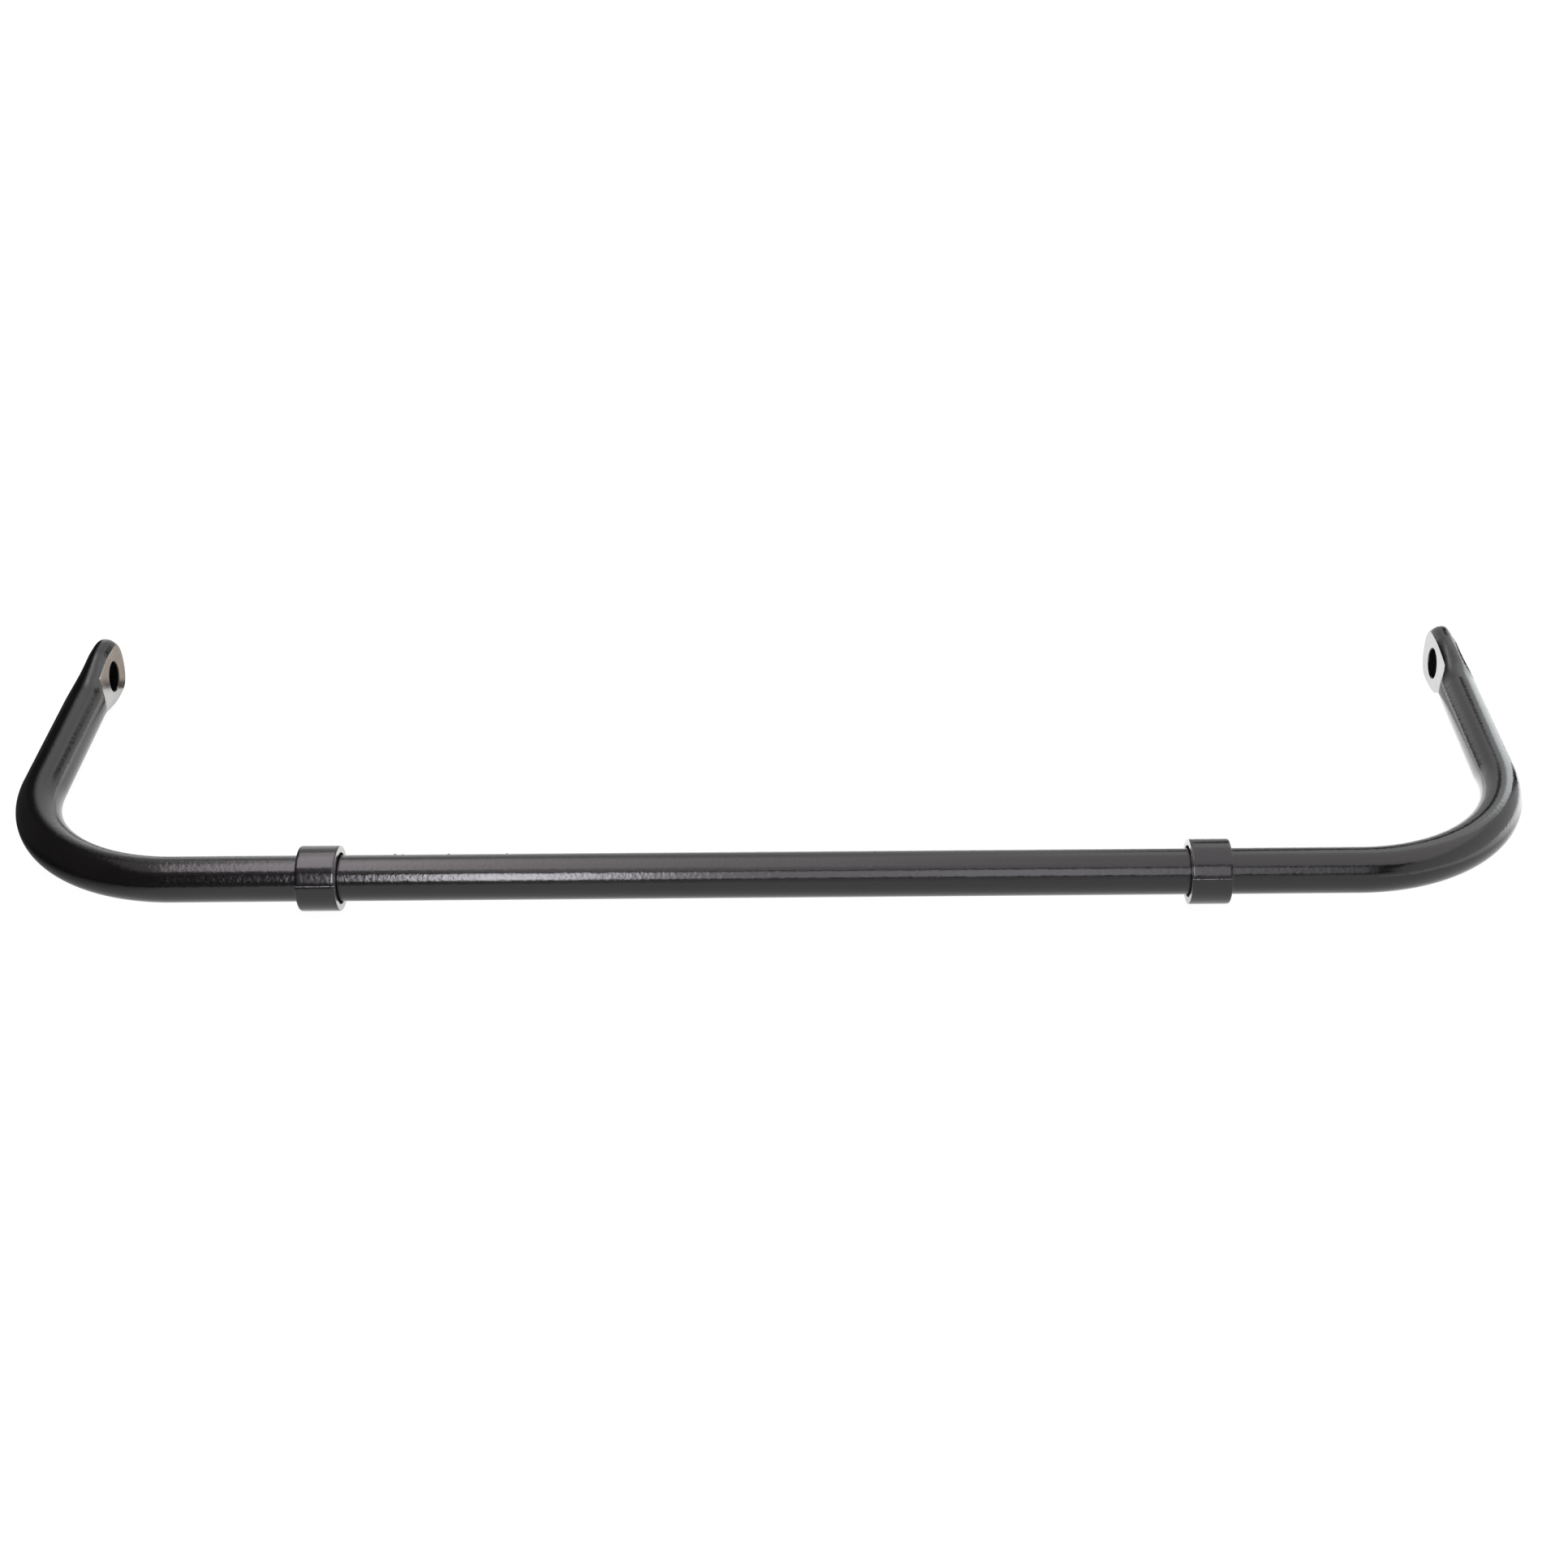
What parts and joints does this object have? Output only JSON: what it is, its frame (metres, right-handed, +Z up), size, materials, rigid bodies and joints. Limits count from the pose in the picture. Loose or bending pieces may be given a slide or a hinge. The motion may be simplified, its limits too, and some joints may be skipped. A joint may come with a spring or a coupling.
{
  "type": "sway bar",
  "caption": "U-shaped automotive sway bar with flattened link eyes and a split collar on a rubber liner near each bend.",
  "frame": {"origin": "middle of the box around the part, at the level of the surface it lies on", "axes": "+X along the torsion bar, +Y from the torsion bar towards the link eyes, +Z up, square to the plane of the arms"},
  "size_m": [0.8832, 0.2748, 0.04],
  "materials": {
    "powder_coat": "gloss black powder coat with light orange peel",
    "collar_coat": "satin-gloss black coat",
    "liner_rubber": "matte"
  },
  "bodies": {
    "bar": {"torsion_bar": "powder_coat", "left_liner": "liner_rubber", "right_liner": "liner_rubber"},
    "left_collar": {"left_collar_upper": "collar_coat", "left_collar_lower": "collar_coat"},
    "right_collar": {"right_collar_upper": "collar_coat", "right_collar_lower": "collar_coat"}
  },
  "joints": [
    {"name": "left_collar_turn", "type": "hinge", "parent": "bar", "child": "left_collar", "pos_m": [-0.242, -0.1194, 0.02], "axis": [1, 0, 0], "continuous": true},
    {"name": "right_collar_turn", "type": "hinge", "parent": "bar", "child": "right_collar", "pos_m": [0.242, -0.1194, 0.02], "axis": [1, 0, 0], "continuous": true}
  ]
}
